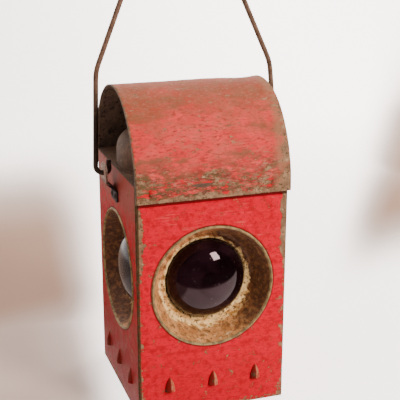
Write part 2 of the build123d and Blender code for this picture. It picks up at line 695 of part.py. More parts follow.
collar_foot = shoulder_height(COLLAR_RADIUS) - 2 * FONT_SHEET
collar_top = font_top + COLLAR_HEIGHT
with BuildPart() as font_collar:
    with BuildSketch(Plane.XY.offset(collar_foot)):
        Circle(COLLAR_RADIUS)
        Circle(COLLAR_BORE, mode=Mode.SUBTRACT)
    extrude(amount=collar_top - collar_foot)
save(font_collar.part, "font_collar")

filler_foot = shoulder_height(FILLER_PLACE + FILLER_RADIUS) - 2 * FONT_SHEET
filler_top = shoulder_height(FILLER_PLACE) + FILLER_HEIGHT
with BuildPart() as filler_neck:
    with BuildSketch(Plane.XY.offset(filler_foot)):
        with Locations((0, -FILLER_PLACE)):
            Circle(FILLER_RADIUS)
            Circle(FILLER_RADIUS - FONT_SHEET, mode=Mode.SUBTRACT)
    extrude(amount=filler_top - filler_foot)
save(filler_neck.part, "filler_neck")

# Cap: a cup pushed down over the neck onto its washer.
cap_inside = filler_top + CAP_SEAL
cap_foot = filler_top - CAP_GRIP
with BuildPart() as filler_cap:
    with BuildSketch(Plane.XY.offset(cap_foot)):
        with Locations((0, -FILLER_PLACE)):
            Circle(FILLER_RADIUS + CAP_PLAY + CAP_WALL)
    extrude(amount=cap_inside + CAP_WALL - cap_foot)
    with BuildSketch(Plane.XY.offset(cap_foot)):
        with Locations((0, -FILLER_PLACE)):
            Circle(FILLER_RADIUS + CAP_PLAY)
    extrude(amount=cap_inside - cap_foot, mode=Mode.SUBTRACT)
    fillet(filler_cap.edges().filter_by(GeomType.CIRCLE).group_by(Axis.Z)[-1], CAP_WALL / 2)
save(filler_cap.part, "filler_cap")

with BuildPart() as cap_washer:
    with BuildSketch(Plane.XY.offset(filler_top + SEAT_GAP / 4)):
        with Locations((0, -FILLER_PLACE)):
            Circle(FILLER_RADIUS + CAP_PLAY / 2)
    extrude(amount=CAP_SEAL - SEAT_GAP / 4)
save(cap_washer.part, "cap_washer")

# Burner: cup with a screwed spigot, a flat wick tube and a slotted cone.
slot_x = WICK_WIDTH / 2 + WICK_PLAY
slot_y = WICK_THICKNESS / 2 + WICK_PLAY
tube_x = slot_x + WICK_TUBE_WALL
tube_y = slot_y + WICK_TUBE_WALL
burner_top = collar_top + BURNER_HEIGHT
cone_top = burner_top + CONE_HEIGHT
spindle_z = collar_top + SPINDLE_RISE
spindle_y = WICK_THICKNESS / 2 + FIT + SPROCKET_RADIUS
sprocket_places = [
    Location((x, spindle_y, spindle_z), (0, QUARTER, 0)) for x in (-SPROCKET_REACH, SPROCKET_REACH)
]

with BuildPart() as burner_body:
    with BuildSketch(Plane.XY.offset(collar_top - BURNER_PLUG)):
        Circle(COLLAR_BORE - FIT / 2)
    extrude(amount=BURNER_PLUG)
    with BuildSketch(Plane.XY.offset(collar_top)):
        Circle(BURNER_RADIUS)
    extrude(amount=BURNER_HEIGHT)
    with BuildSketch(Plane.XY.offset(collar_top + 2 * BURNER_SHEET)):
        Circle(BURNER_RADIUS - BURNER_SHEET)
    extrude(amount=BURNER_HEIGHT, mode=Mode.SUBTRACT)
    with BuildSketch(Plane.XY.offset(collar_top - BURNER_PLUG)):
        Rectangle(2 * tube_x, 2 * tube_y)
    extrude(amount=BURNER_PLUG + 2 * BURNER_SHEET, mode=Mode.SUBTRACT)
    with Locations(Location((BURNER_RADIUS, spindle_y, spindle_z), (0, QUARTER, 0))):
        Cylinder(SPINDLE_RADIUS + HINGE_PLAY, 4 * SHEET, mode=Mode.SUBTRACT)
    with PolarLocations(BURNER_RADIUS, BURNER_HOLES, start_angle=180 / BURNER_HOLES):
        with Locations(Location((0, 0, burner_top - BURNER_HOLE_DROP), (0, QUARTER, 0))):
            Cylinder(BURNER_HOLE, 4 * BURNER_SHEET, mode=Mode.SUBTRACT)
save(burner_body.part, "burner_body")

with BuildPart() as wick_tube:
    with BuildSketch(Plane.XY.offset(collar_top - WICK_TUBE_BELOW)):
        Rectangle(2 * tube_x, 2 * tube_y)
        Rectangle(2 * slot_x, 2 * slot_y, mode=Mode.SUBTRACT)
    extrude(amount=WICK_TUBE_BELOW + BURNER_HEIGHT + WICK_TUBE_RISE)
    with Locations(*sprocket_places):
        Cylinder(SPROCKET_RADIUS + FIT, SPROCKET_WIDTH + 2 * FIT, mode=Mode.SUBTRACT)
    with Locations(Location((0, spindle_y, spindle_z), (0, QUARTER, 0))):
        Cylinder(SPINDLE_RADIUS + FIT, 3 * tube_x, mode=Mode.SUBTRACT)
save(wick_tube.part, "wick_tube")

cone_curve = cap_curve(BURNER_RADIUS, CONE_HEIGHT)
with BuildPart() as burner_cone:
    with BuildSketch(Plane.XZ):
        with BuildLine():
            cone_inside = BURNER_RADIUS - BURNER_SHEET
            Line((cone_inside, burner_top), (BURNER_RADIUS, burner_top))
            RadiusArc((BURNER_RADIUS, burner_top), (0, cone_top), -cone_curve)
            Line((0, cone_top), (0, cone_top - BURNER_SHEET))
            RadiusArc((0, cone_top - BURNER_SHEET), (cone_inside, burner_top), cone_curve)
        make_face()
    revolve(axis=Axis.Z)
    with Locations((0, 0, cone_top)):
        Box(2 * tube_x, 2 * (tube_y + CONE_SLOT_PLAY), CONE_HEIGHT, mode=Mode.SUBTRACT)
save(burner_cone.part, "burner_cone")

with BuildPart() as wick:
    wick_foot = font_spring - WICK_HANG
    wick_top = burner_top + WICK_TUBE_RISE + WICK_SHOWS
    with BuildSketch(Plane.XY.offset(wick_foot)):
        Rectangle(WICK_WIDTH, WICK_THICKNESS)
    extrude(amount=wick_top - wick_foot)
save(wick.part, "wick")

with BuildPart() as raiser_spindle:
    with BuildSketch(Plane.YZ.offset(-SPROCKET_REACH - SPROCKET_WIDTH)):
        with Locations((spindle_y, spindle_z)):
            Circle(SPINDLE_RADIUS)
    extrude(amount=SPROCKET_REACH + SPROCKET_WIDTH + KNOB_PLACE + KNOB_WIDTH)
    with Locations(*sprocket_places):
        Cylinder(SPROCKET_RADIUS - TOOTH_HEIGHT, SPROCKET_WIDTH)
        with PolarLocations(SPROCKET_RADIUS - TOOTH_HEIGHT, SPROCKET_TEETH):
            Box(TOOTH_LENGTH, TOOTH_WIDTH, SPROCKET_WIDTH)
save(raiser_spindle.part, "raiser_spindle")

with BuildPart() as raiser_knob:
    with BuildSketch(Plane.YZ.offset(KNOB_PLACE)):
        with Locations((spindle_y, spindle_z)):
            Circle(KNOB_RADIUS)
            with PolarLocations(KNOB_RADIUS, KNOB_NOTCHES):
                Circle(KNOB_NOTCH, mode=Mode.SUBTRACT)
            Circle(SPINDLE_RADIUS, mode=Mode.SUBTRACT)
    extrude(amount=KNOB_WIDTH)
save(raiser_knob.part, "raiser_knob")
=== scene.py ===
import math

import bmesh
import bpy
from mathutils import Matrix, Vector, noise


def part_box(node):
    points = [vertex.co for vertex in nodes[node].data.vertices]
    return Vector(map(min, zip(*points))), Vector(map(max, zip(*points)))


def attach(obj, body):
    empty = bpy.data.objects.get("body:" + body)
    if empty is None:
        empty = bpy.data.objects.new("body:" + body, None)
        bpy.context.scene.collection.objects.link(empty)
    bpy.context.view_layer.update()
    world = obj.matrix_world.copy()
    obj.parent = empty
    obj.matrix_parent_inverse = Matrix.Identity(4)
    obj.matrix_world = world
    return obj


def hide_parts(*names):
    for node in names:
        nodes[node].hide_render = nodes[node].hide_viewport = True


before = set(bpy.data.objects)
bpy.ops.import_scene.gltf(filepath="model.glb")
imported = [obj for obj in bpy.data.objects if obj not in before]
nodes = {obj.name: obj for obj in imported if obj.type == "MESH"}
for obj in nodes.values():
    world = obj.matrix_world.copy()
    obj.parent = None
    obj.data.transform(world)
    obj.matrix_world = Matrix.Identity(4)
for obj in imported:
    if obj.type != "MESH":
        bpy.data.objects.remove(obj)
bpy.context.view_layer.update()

# ---------------------------------------------------------------- stage
# Pale seamless paper: one sheet that lies under the lantern and rises behind it.  A painted beam
# of window light keeps a wedge of it bright behind the lantern, and painted shade lies on both sides.
MM = 0.001
PAPER_REACH = 9.0
WALL_PLACE = 1.15
WALL_SWEEP = 0.5
WALL_HEIGHT = 2.4
SWEEP_STEPS = 16
# the beam's half width beside the lantern, and how it widens, lies and leans behind it (metres)
BEAM_HALF = 0.12
BEAM_LEAST = 0.06
BEAM_WIDENS = 0.235
BEAM_MIDDLE = 0.03
BEAM_LEANS = 0.405
FLOOR_GLOW = 2.7
MIRRORED_GLOW = 0.62


def linear(code):
    """A colour written as sRGB hex, turned into the linear colour that shaders use."""
    parts = [int(code[i : i + 2], 16) / 255 for i in (1, 3, 5)]
    return tuple([p / 12.92 if p <= 0.04045 else ((p + 0.055) / 1.055) ** 2.4 for p in parts] + [1.0])


def put(tree, kind, inputs, **settings):
    """Adds one shader node with its settings.  Its inputs, named or in their order, are set or
    linked, and a node given as an input is linked by its first output."""
    made = tree.nodes.new("ShaderNode" + kind)
    for name, value in settings.items():
        setattr(made, name, value)
    if not isinstance(inputs, dict):
        inputs = dict(enumerate(inputs))
    for name, value in inputs.items():
        if isinstance(value, bpy.types.Node):
            value = value.outputs[0]
        if isinstance(value, bpy.types.NodeSocket):
            tree.links.new(value, made.inputs[name])
        else:
            made.inputs[name].default_value = value
    return made


def new_material(name):
    """An empty material, its tree, and the coordinates that stay fixed to the piece."""
    material = bpy.data.materials.new(name)
    material.use_nodes = True
    material.node_tree.nodes.clear()
    tree = material.node_tree
    return material, tree, put(tree, "TexCoord", ()).outputs["Object"]


def finish(tree, inputs, bump=None, strength=0.3, depth=0.3 * MM):
    """Closes a tree: the finish of the surface, and how deep its relief looks."""
    if bump is not None:
        relief = put(tree, "Bump", {"Height": bump, "Strength": strength, "Distance": depth})
        inputs = {**inputs, "Normal": relief}
    put(tree, "OutputMaterial", {"Surface": put(tree, "BsdfPrincipled", inputs)})


def where(tree, *limits):
    """The share of a surface where every one of these holds.  Each is a share, or a value with
    where it starts to count and where it counts in full, and its least and most if not 0 and 1."""
    held = None
    for limit in limits:
        if isinstance(limit, tuple):
            limit = put(tree, "MapRange", limit, interpolation_type="SMOOTHSTEP")
        held = limit if held is None else put(tree, "Math", (held, limit), operation="MULTIPLY")
    return held


def coats(tree, under, *layers):
    """Lays colours over each other, each with where on the surface it lies."""
    for share, over in layers:
        below, above = (linear(c) if isinstance(c, str) else c for c in (under, over))
        inputs = {0: where(tree, share), 6: below, 7: above}
        under = put(tree, "Mix", inputs, data_type="RGBA").outputs[2]
    return under


def seamless_paper():
    """Matt off-white paper.  Its light and shade are in its own tone and glow, which the camera
    and the glasses see, so that the paper throws no haze over the enamel."""
    material, tree, place = new_material("seamless_paper")
    split = put(tree, "SeparateXYZ", (place,)).outputs
    across, away = split["X"], split["Y"]
    widening = put(tree, "Math", (away, BEAM_WIDENS, BEAM_HALF), operation="MULTIPLY_ADD")
    beam_half = put(tree, "Math", (widening, BEAM_LEAST), operation="MAXIMUM")
    middle = put(tree, "Math", (away, BEAM_LEANS, BEAM_MIDDLE), operation="MULTIPLY_ADD")
    off_middle = put(tree, "Math", (across, middle), operation="SUBTRACT")
    from_middle = put(tree, "Math", (off_middle,), operation="ABSOLUTE")
    share_out = put(tree, "Math", (from_middle, beam_half), operation="DIVIDE")
    # painted shade lies behind the lantern, deeper on the right, and reaches further forward on the left
    right_shade = where(tree, (across, 0.45, 0.65), (away, 1.70, 1.05))
    far_shade = where(tree, (away, 1.10, 0.46))
    far_shade = put(tree, "Math", (far_shade, right_shade), operation="MAXIMUM")
    forward = put(tree, "Math", (across, -0.3, away), operation="MULTIPLY_ADD")
    left_shade = where(tree, (across, 0.12, -0.18, 0.0, 0.80))
    near_shade = where(tree, (forward, 0.04, 0.30))
    near_shade = put(tree, "Math", (near_shade, left_shade), operation="MAXIMUM")
    # it stops softly at the beam, and ends well outside the view, at the sides and in front
    to_side = put(tree, "Math", (across,), operation="ABSOLUTE")
    ends = where(tree, (to_side, 1.6, 0.8), (away, -0.80, -0.30))
    shade = where(tree, far_shade, near_shade, (share_out, 0.80, 1.30), ends)
    # in reflections the paper is bright near the lantern, and further off a painted reflection of a dark
    # room
    rays = put(tree, "LightPath", ()).outputs
    mirrored = where(tree, rays["Is Glossy Ray"], (away, -0.37, -0.29))
    painted_dark_reflection = put(tree, "Math", (rays["Is Glossy Ray"], mirrored), operation="SUBTRACT")
    tone = coats(tree, "#FAF2EE", (shade, "#997966"), (painted_dark_reflection, "#0C0A0A"))
    # the floor glows evenly, and the wall behind it more towards the right
    wall_glow = where(tree, (across, -0.2, 0.9, 2.3, 4.6))
    wall_gain = put(tree, "Math", (wall_glow, FLOOR_GLOW), operation="SUBTRACT")
    on_wall = where(tree, (away, 0.2, 1.2))
    glow = put(tree, "Math", (on_wall, wall_gain, FLOOR_GLOW), operation="MULTIPLY_ADD")
    seen = (mirrored, MIRRORED_GLOW, rays["Is Camera Ray"])
    seen = put(tree, "Math", seen, operation="MULTIPLY_ADD")
    glow = where(tree, glow, (shade, 0.0, 0.8, 1.0, 0.12), seen)
    finish(tree, {"Base Color": tone, "Roughness": 0.9, "Emission Color": tone, "Emission Strength": glow})
    return material


profile = [(-PAPER_REACH, 0.0), (WALL_PLACE, 0.0)]
for step in range(1, SWEEP_STEPS + 1):
    turn = math.pi / 2 * step / SWEEP_STEPS
    profile.append((WALL_PLACE + WALL_SWEEP * math.sin(turn), WALL_SWEEP * (1 - math.cos(turn))))
profile.append((WALL_PLACE + WALL_SWEEP, WALL_HEIGHT))
sheet = bmesh.new()
rows = [[sheet.verts.new((x, y, z)) for x in (-PAPER_REACH, PAPER_REACH)] for y, z in profile]
for low, high in zip(rows, rows[1:]):
    sheet.faces.new((low[0], low[1], high[1], high[0])).smooth = True
paper_mesh = bpy.data.meshes.new("paper_sweep")
sheet.to_mesh(paper_mesh)
sheet.free()
paper_mesh.materials.append(seamless_paper())
paper = bpy.data.objects.new("paper_sweep", paper_mesh)
bpy.context.scene.collection.objects.link(paper)

# ---------------------------------------------------------------- camera
# A long lens on the left, higher than the lantern and aimed down at it, so that the uprights
# draw together a little towards the foot.
CAMERA_PLACE = Vector((-286.5, -881.6, 492.4)) * MM
CAMERA_YAW = math.radians(18.71)
CAMERA_PITCH = math.radians(17.74)
CAMERA_ROLL = math.radians(0.05)
CAMERA_LENS = 86.0
CAMERA_FILM = 36.0

camera_data = bpy.data.cameras.new("camera")
camera_data.lens = CAMERA_LENS
camera_data.sensor_width = CAMERA_FILM
camera_data.clip_start = 0.05
camera = bpy.data.objects.new("camera", camera_data)
bpy.context.scene.collection.objects.link(camera)
camera.location = CAMERA_PLACE
camera.rotation_euler = (
    Matrix.Rotation(-CAMERA_YAW, 3, "Z")
    @ Matrix.Rotation(math.pi / 2 - CAMERA_PITCH, 3, "X")
    @ Matrix.Rotation(CAMERA_ROLL, 3, "Z")
).to_euler()
bpy.context.scene.camera = camera

# ---------------------------------------------------------------- lights
# A window on the right, a soft fill overhead, a wash on the wall behind, and a dim pale room
# that is dimmer still in reflections and bright where the camera looks past the paper.
LIGHTS = {
    # name: place, what it aims at, size (metres), watts, colour
    "window": ((0.78, -1.26, 1.06), (0, -0.07, 0.14), (0.42, 0.60), 38, "#FFF8F0"),
    "overhead": ((-0.9, -0.2, 1.7), (0, 0, 0.2), (1.4, 1.4), 15, "#FFFAF5"),
    "wall_wash": ((0.7, 0.7, 1.9), (0.75, 1.7, 0.6), (1.6, 0.6), 60, "#FFFBF8"),
}
ROOM_LIGHT = 0.09
ROOM_MIRRORED = 0.04
ROOM_SEEN = 3.4

for name, (place, aim, size, watts, colour) in LIGHTS.items():
    data = bpy.data.lights.new(name, "AREA")
    data.shape = "RECTANGLE"
    data.size, data.size_y = size
    data.energy = watts
    data.color = linear(colour)[:3]
    lamp = bpy.data.objects.new(name, data)
    bpy.context.scene.collection.objects.link(lamp)
    lamp.location = place
    lamp.rotation_euler = (Vector(aim) - Vector(place)).to_track_quat("-Z", "Y").to_euler()
world = bpy.data.worlds.new("room")
bpy.context.scene.world = world
world.use_nodes = True
room = world.node_tree
room.nodes.clear()
rays = put(room, "LightPath", ()).outputs
dim = put(room, "MapRange", (rays["Is Glossy Ray"], 0.0, 1.0, ROOM_LIGHT, ROOM_MIRRORED))
strength = put(room, "Math", (rays["Is Camera Ray"], ROOM_SEEN, dim), operation="MULTIPLY_ADD")
air = put(room, "Background", {"Color": linear("#F0E8E4"), "Strength": strength})
put(room, "OutputWorld", {"Surface": air})

# ---------------------------------------------------------------- body
# Square tube of sheet steel with bent corners and a folded top edge, brushed with red enamel
# that has rubbed through to olive-grey steel along the corners and round the lens rims.
BODY_HALF = 76.0 * MM
LOUVRE_PITCH = 44.8 * MM
LENS_HEIGHT = 131.0 * MM
# old enamel is chalky, and mirrors next to nothing
ENAMEL_SHINE = 0.04
# the brush was drawn round the body, so its marks are long and level
LEVEL_STROKES = (0.28, 0.28, 1.9)


def blotch(tree, place, size, low, high, least=0.0, most=1.0, detail=4.0, seed=0.0, rough=0.6, stretch=None):
    """Patches this many millimetres across: least of them at one threshold, most at the other."""
    if stretch:
        shift = {"Vector": place, "Location": (seed, seed, seed), "Scale": stretch}
        place = put(tree, "Mapping", shift)
    elif seed:
        shift = {"Vector": place, "Location": (seed, -seed, seed)}
        place = put(tree, "Mapping", shift)
    grain = {"Vector": place, "Scale": 1.0 / (size * MM), "Detail": detail, "Roughness": rough}
    return where(tree, (put(tree, "TexNoise", grain), low, high, least, most))


def uneven(tree, place, value, size, amount, seed):
    """A line across the piece made uneven, by this much in patches of this size."""
    shift = blotch(tree, place, size, 0.2, 0.8, 0.0, amount, seed=seed)
    return put(tree, "Math", (value, shift), operation="ADD")


def worn(tree, chips, *places):
    """How worn the paint is: chipped all over, and the more so at each of these places."""
    for limit in places:
        chips = put(tree, "Math", (chips, where(tree, limit)), operation="ADD")
    return chips


def round_the_sides(tree, place):
    """Measures that are alike on all four sides: along the side, outward, and from its lens."""
    x, y, z = put(tree, "SeparateXYZ", (place,)).outputs
    reach_x = put(tree, "Math", (x,), operation="ABSOLUTE")
    reach_y = put(tree, "Math", (y,), operation="ABSOLUTE")
    along = put(tree, "Math", (reach_x, reach_y), operation="MINIMUM")
    over_lens = put(tree, "Math", (z, LENS_HEIGHT), operation="SUBTRACT")
    on_face = put(tree, "CombineXYZ", (along, over_lens, 0.0))
    faces_x = put(tree, "Math", (reach_x, reach_y), operation="GREATER_THAN")
    return {
        "reach_y": reach_y,
        "along": along,
        "outward": put(tree, "Math", (reach_x, reach_y), operation="MAXIMUM"),
        "over_lens": over_lens,
        "from_lens": put(tree, "VectorMath", (on_face,), operation="LENGTH").outputs["Value"],
        "sideways": put(tree, "Mix", {0: faces_x, 2: x, 3: y}),
    }


def bare_steel(tree, place):
    """Steel that has lost its paint: brown-olive scale, tan where handled, rust in the pits."""
    return coats(
        tree,
        "#7C5E48",
        (blotch(tree, place, 9, 0.40, 0.64), "#9C7A5C"),
        (blotch(tree, place, 2.6, 0.5, 0.66, seed=0.7), "#5C4534"),
        (blotch(tree, place, 4, 0.60, 0.72, seed=1.9), "#C09A7A"),
    )


def brushed_enamel():
    """Red enamel brushed on steel: a strong flat red with darker rubs and paler drag marks.  On
    the left side it has painted shade and paler brown patches, and it is chipped to bare steel
    where hands and knocks reach it."""
    material, tree, place = new_material("brushed_red_enamel_on_steel")
    split = put(tree, "SeparateXYZ", (place,)).outputs
    x, z = split["X"], split["Z"]
    side = round_the_sides(tree, place)
    on_front = where(tree, (side["reach_y"], BODY_HALF - 1.0 * MM, BODY_HALF - 0.2 * MM))
    left_face = where(tree, (x, 0.8 * MM - BODY_HALF, 0.1 * MM - BODY_HALF))
    rubs = blotch(tree, place, 3.2, 0.50, 0.64, detail=7, seed=10.2, rough=0.72, stretch=(0.5, 0.5, 1.4))
    drag = blotch(tree, place, 5, 0.54, 0.72, detail=6, seed=0.9, rough=0.7, stretch=LEVEL_STROKES)
    red = coats(
        tree,
        "#D00024",
        (blotch(tree, place, 24, 0.35, 0.68), "#D6002C"),
        # painted shade: darker towards the foot, near the floor
        ((z, 0.085, 0.03, 0.0, 0.3), "#B81824"),
        (blotch(tree, place, 7, 0.46, 0.68, seed=0.4), "#B0081A"),
        (where(tree, rubs, 0.7), "#A80C1C"),
        (where(tree, drag, (z, 0.08, 0.19, 0.2, 0.8)), "#D2504E"),
    )
    # the left face: painted shade towards its foot, in patches; paler brown patches, most up under the hood
    shade_patches = blotch(tree, place, 16, 0.25, 0.75, 0.5, 0.75, seed=3.9)
    slant = put(tree, "Math", (z, 0.5, x), operation="MULTIPLY_ADD")
    shaded = where(tree, (slant, -0.010, -0.062), shade_patches, left_face)
    pale_brown_patches = blotch(tree, place, 13, 0.38, 0.62, detail=8, seed=5.2, rough=0.72)
    under_hood = where(tree, (z, 0.186, 0.212, 0.0, 0.85))
    pale_brown_patches = put(tree, "Math", (pale_brown_patches, under_hood), operation="MAXIMUM")
    pale_brown_patches = where(tree, pale_brown_patches, left_face, (z, 0.185, 0.205, 0.5, 0.9))
    # real rust pits are half a millimetre across, and are drawn three times as coarse to show
    pits = blotch(tree, place, 1.7, 0.60, 0.72, seed=3.3)
    red = coats(tree, red, (shaded, "#7A1C1C"), (pale_brown_patches, "#965448"), (pits, "#8E0C16"))
    # most wear is along the corners, the pans' rims, the foot and two strips that hands rub
    corner = where(tree, (side["along"], 0.0685, 0.0762, 0.0, 0.20))
    wear = worn(
        tree,
        blotch(tree, place, 9, 0.0, 1.0, detail=8, seed=1.4, rough=0.70),
        corner,
        where(tree, corner, (z, 0.12, 0.19)),
        (side["from_lens"], 0.0652, 0.0620, 0.0, 0.10),
        (z, 0.014, 0.001, 0.0, 0.15),
        where(tree, on_front, (x, -0.0645, -0.0730, 0.0, 0.26), (z, 0.150, 0.166), (z, 0.222, 0.205)),
        where(tree, on_front, (x, 0.0665, 0.0712, 0.0, 0.27), (z, 0.135, 0.185)),
    )
    # the bend itself is bare, and wider on the left, where painted shade also makes it darker
    widened = where(tree, (x, 0.010, -0.010, 0.0, 1.2 * MM))
    toward_edge = put(tree, "Math", (side["along"], widened), operation="ADD")
    edge = where(tree, (toward_edge, 0.0739, 0.0753))
    shaded_left_bend = where(tree, edge, (x, 0.010, -0.010, 0.58, 0.88))
    steel = coats(tree, bare_steel(tree, place), (shaded_left_bend, "#39301F"))
    chipped = where(tree, (wear, 0.66, 0.70))
    scraped = put(tree, "Math", (chipped, where(tree, edge, 0.85)), operation="MAXIMUM")
    # the louvres stand proud, rubbed on one flank, with painted shade on the other
    pitch = (side["sideways"], LOUVRE_PITCH / 2, -LOUVRE_PITCH / 2)
    shaded_flank = put(tree, "Math", pitch, operation="WRAP")
    rubbed = blotch(tree, place, 4, 0.40, 0.56, detail=5, seed=7.3)
    louvre = coats(tree, "#8C4030", (rubbed, "#A87A58"), ((shaded_flank, 1.4 * MM, 0.0), "#34190F"))
    proud = (side["outward"], BODY_HALF + 0.2 * MM, BODY_HALF + 0.8 * MM)
    # the inside was never painted
    inside = where(tree, (side["outward"], BODY_HALF - 0.25 * MM, BODY_HALF - 0.55 * MM))
    rust = coats(tree, "#4A3324", (blotch(tree, place, 8, 0.35, 0.65, seed=5.5), "#6E5038"))
    colour = coats(
        tree,
        red,
        ((wear, 0.59, 0.665, 0.0, 0.7), "#963028"),
        (scraped, steel),
        # a ring of painted shade round the pans' rims, and a painted shadow line under the hood's skirts
        ((side["from_lens"], 0.0642, 0.0624, 0.0, 0.85), "#4A2016"),
        (where(tree, (z, 0.2172, 0.2188, 0.0, 0.8), on_front), "#3A120E"),
        (where(tree, proud, (x, 0.8 * MM - BODY_HALF, 0.1 * MM - BODY_HALF, 0.8, 0.45)), louvre),
        (inside, rust),
    )
    unpainted = put(tree, "Math", (scraped, inside), operation="MAXIMUM")
    strokes = blotch(tree, place, 5, 0.3, 0.7, 0.0, 0.5, detail=5, seed=6.1, stretch=LEVEL_STROKES)
    relief = put(tree, "Math", (strokes, scraped), operation="SUBTRACT")
    beaten = blotch(tree, place, 60, 0.2, 0.8, 0.0, 4.0, seed=8.0)
    relief = put(tree, "Math", (relief, beaten), operation="ADD")
    inputs = {
        "Base Color": colour,
        "Roughness": put(tree, "MapRange", (unpainted, 0.0, 1.0, 0.46, 0.66)),
        "Specular IOR Level": ENAMEL_SHINE,
    }
    finish(tree, inputs, relief, 0.35, 0.4 * MM)
    return material


def dress(material, *names):
    """Gives CAD nodes their finish."""
    for name in names:
        nodes[name].data.materials.clear()
        nodes[name].data.materials.append(material)


dress(brushed_enamel(), "body_shell")

# ---------------------------------------------------------------- base
# The bottom is one square of sheet steel with its rim turned up inside the body.  Unpainted,
# dull and rusty, like the hinge.


def worn_steel():
    """Handled mild steel: grey-brown, mottled with rust, with smears of the red paint on it."""
    material, tree, place = new_material("worn_rusty_steel")
    colour = coats(
        tree,
        "#7C6A55",
        (blotch(tree, place, 7, 0.36, 0.64), "#A08C78"),
        (blotch(tree, place, 2.2, 0.5, 0.68, seed=0.6), "#5B4334"),
        (blotch(tree, place, 4, 0.62, 0.7, seed=2.6), "#A8483C"),
    )
    pitted = blotch(tree, place, 1.6, 0.3, 0.7, detail=5)
    finish(tree, {"Base Color": colour, "Roughness": 0.6, "Metallic": 0.3}, pitted, 0.4, 0.3 * MM)
    return material


fittings = worn_steel()
dress(fittings, "base_pan")

# ---------------------------------------------------------------- lens pans
# Spun steel pans, once tinned, now gold-brown with rust; the rolled rim is olive-grey and a
# pale corroded crust lies round the glass.
SHEET = 1.0 * MM
PAN_RIM = 59.5 * MM
PAN_FLOOR = 49.0 * MM
PAN_DEPTH = 25.0 * MM
PAN_BEAD = 2.6 * MM
SEAT_BEAD = 4.2 * MM
LENS_RADIUS = 41.0 * MM
SIDES = {"front": 0, "right": 90, "rear": 180, "left": 270}
SPIN_STEPS = 144
WALL_STEPS = 22


def lattice(made, rows, closed=True):
    """Faces between rows of points; each row is a ring when closed."""
    grid = [[made.verts.new(point) for point in row] for row in rows]
    for low, high in zip(grid, grid[1:]):
        count = len(low)
        for i in range(count if closed else count - 1):
            j = (i + 1) % count
            made.faces.new((low[i], low[j], high[j], high[i]))
    return grid


def spin(made, outline, turn, push=None):
    """Turns an outline of (radius, depth) about the lens axis of one side."""
    angle = math.radians(turn)
    inward = Vector((-math.sin(angle), math.cos(angle), 0))
    sideways, up = Vector((math.cos(angle), math.sin(angle), 0)), Vector((0, 0, 1))
    centre = up * LENS_HEIGHT - inward * BODY_HALF
    rows = []
    for radius, depth in outline:
        row = []
        for step in range(SPIN_STEPS):
            angle = 2 * math.pi * step / SPIN_STEPS
            ray = sideways * math.cos(angle) + up * math.sin(angle)
            place = centre + ray * radius + inward * depth
            row.append(push(place, ray, inward, radius, depth) if push else place)
        rows.append(row)
    return lattice(made, rows)


def finish_mesh(name, made, materials, body, sharp=32):
    """Turns a bmesh into a piece of one body: smooth faces, crisp edges, its materials."""
    bmesh.ops.remove_doubles(made, verts=made.verts, dist=1e-6)
    bmesh.ops.recalc_face_normals(made, faces=made.faces)
    for face in made.faces:
        face.smooth = True
    for edge in made.edges:
        if len(edge.link_faces) == 2 and edge.calc_face_angle(0) > math.radians(sharp):
            edge.smooth = False
    mesh = bpy.data.meshes.new(name)
    made.to_mesh(mesh)
    made.free()
    for material in materials:
        mesh.materials.append(material)
    piece = bpy.data.objects.new(name, mesh)
    bpy.context.scene.collection.objects.link(piece)
    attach(piece, body)
    return piece


def bead(start, stop, rise, steps, base):
    """Points of a shallow round bead between two radii, standing this proud of a depth."""
    shares = [step / steps for step in range(steps + 1)]
    return [(start + (stop - start) * s, base - rise * math.sin(math.pi * s) ** 0.8) for s in shares]


def pan_outline():
    """Rolled rim, sloping wall, floor, the bead that holds the glass, and the back."""
    seat_inner = LENS_RADIUS + 0.2 * MM
    seat_outer = seat_inner + SEAT_BEAD
    rim = bead(PAN_RIM + PAN_BEAD, PAN_RIM + 0.2 * MM, PAN_BEAD * 0.52, 8, 0.0)
    shares = [step / WALL_STEPS for step in range(1, WALL_STEPS)]
    wall = [(PAN_RIM + (PAN_FLOOR - PAN_RIM) * s, PAN_DEPTH * s) for s in shares]
    floor = [(PAN_FLOOR + 0.25 * MM, PAN_DEPTH - 0.5 * MM), (PAN_FLOOR - 0.4 * MM, PAN_DEPTH)]
    floor += [(PAN_FLOOR - 1.4 * MM, PAN_DEPTH), (seat_outer + 0.8 * MM, PAN_DEPTH)]
    seat = bead(seat_outer, seat_inner, SEAT_BEAD * 0.4, 10, PAN_DEPTH)
    back = [(seat_inner, PAN_DEPTH + SHEET), (PAN_FLOOR + 0.8 * MM, PAN_DEPTH + SHEET)]
    back += [(PAN_RIM + SHEET, SHEET), (PAN_RIM + SHEET, 0.0)]
    return rim + wall + floor + seat + back


def pan_scale(place, ray, inward, radius, depth):
    """A wavering rim, rust scale on the wall, and a knobbly crust on the floor round the glass."""
    if depth < 0.5 * MM:
        return place + ray * (0.25 * MM * noise.noise(place / (7 * MM)))
    if depth > PAN_DEPTH + 0.5 * MM or radius > PAN_RIM + 0.5 * MM:
        return place
    if radius < PAN_FLOOR + 0.5 * MM:
        crust = max(0.0, noise.noise(place / (5.5 * MM)) + 0.22) * 1.5 * MM
        crust += max(0.0, noise.noise(place / (2.2 * MM))) * 0.6 * MM
        return place - inward * crust
    return place - ray * (noise.noise(place / (4.0 * MM)) * 0.22 * MM)


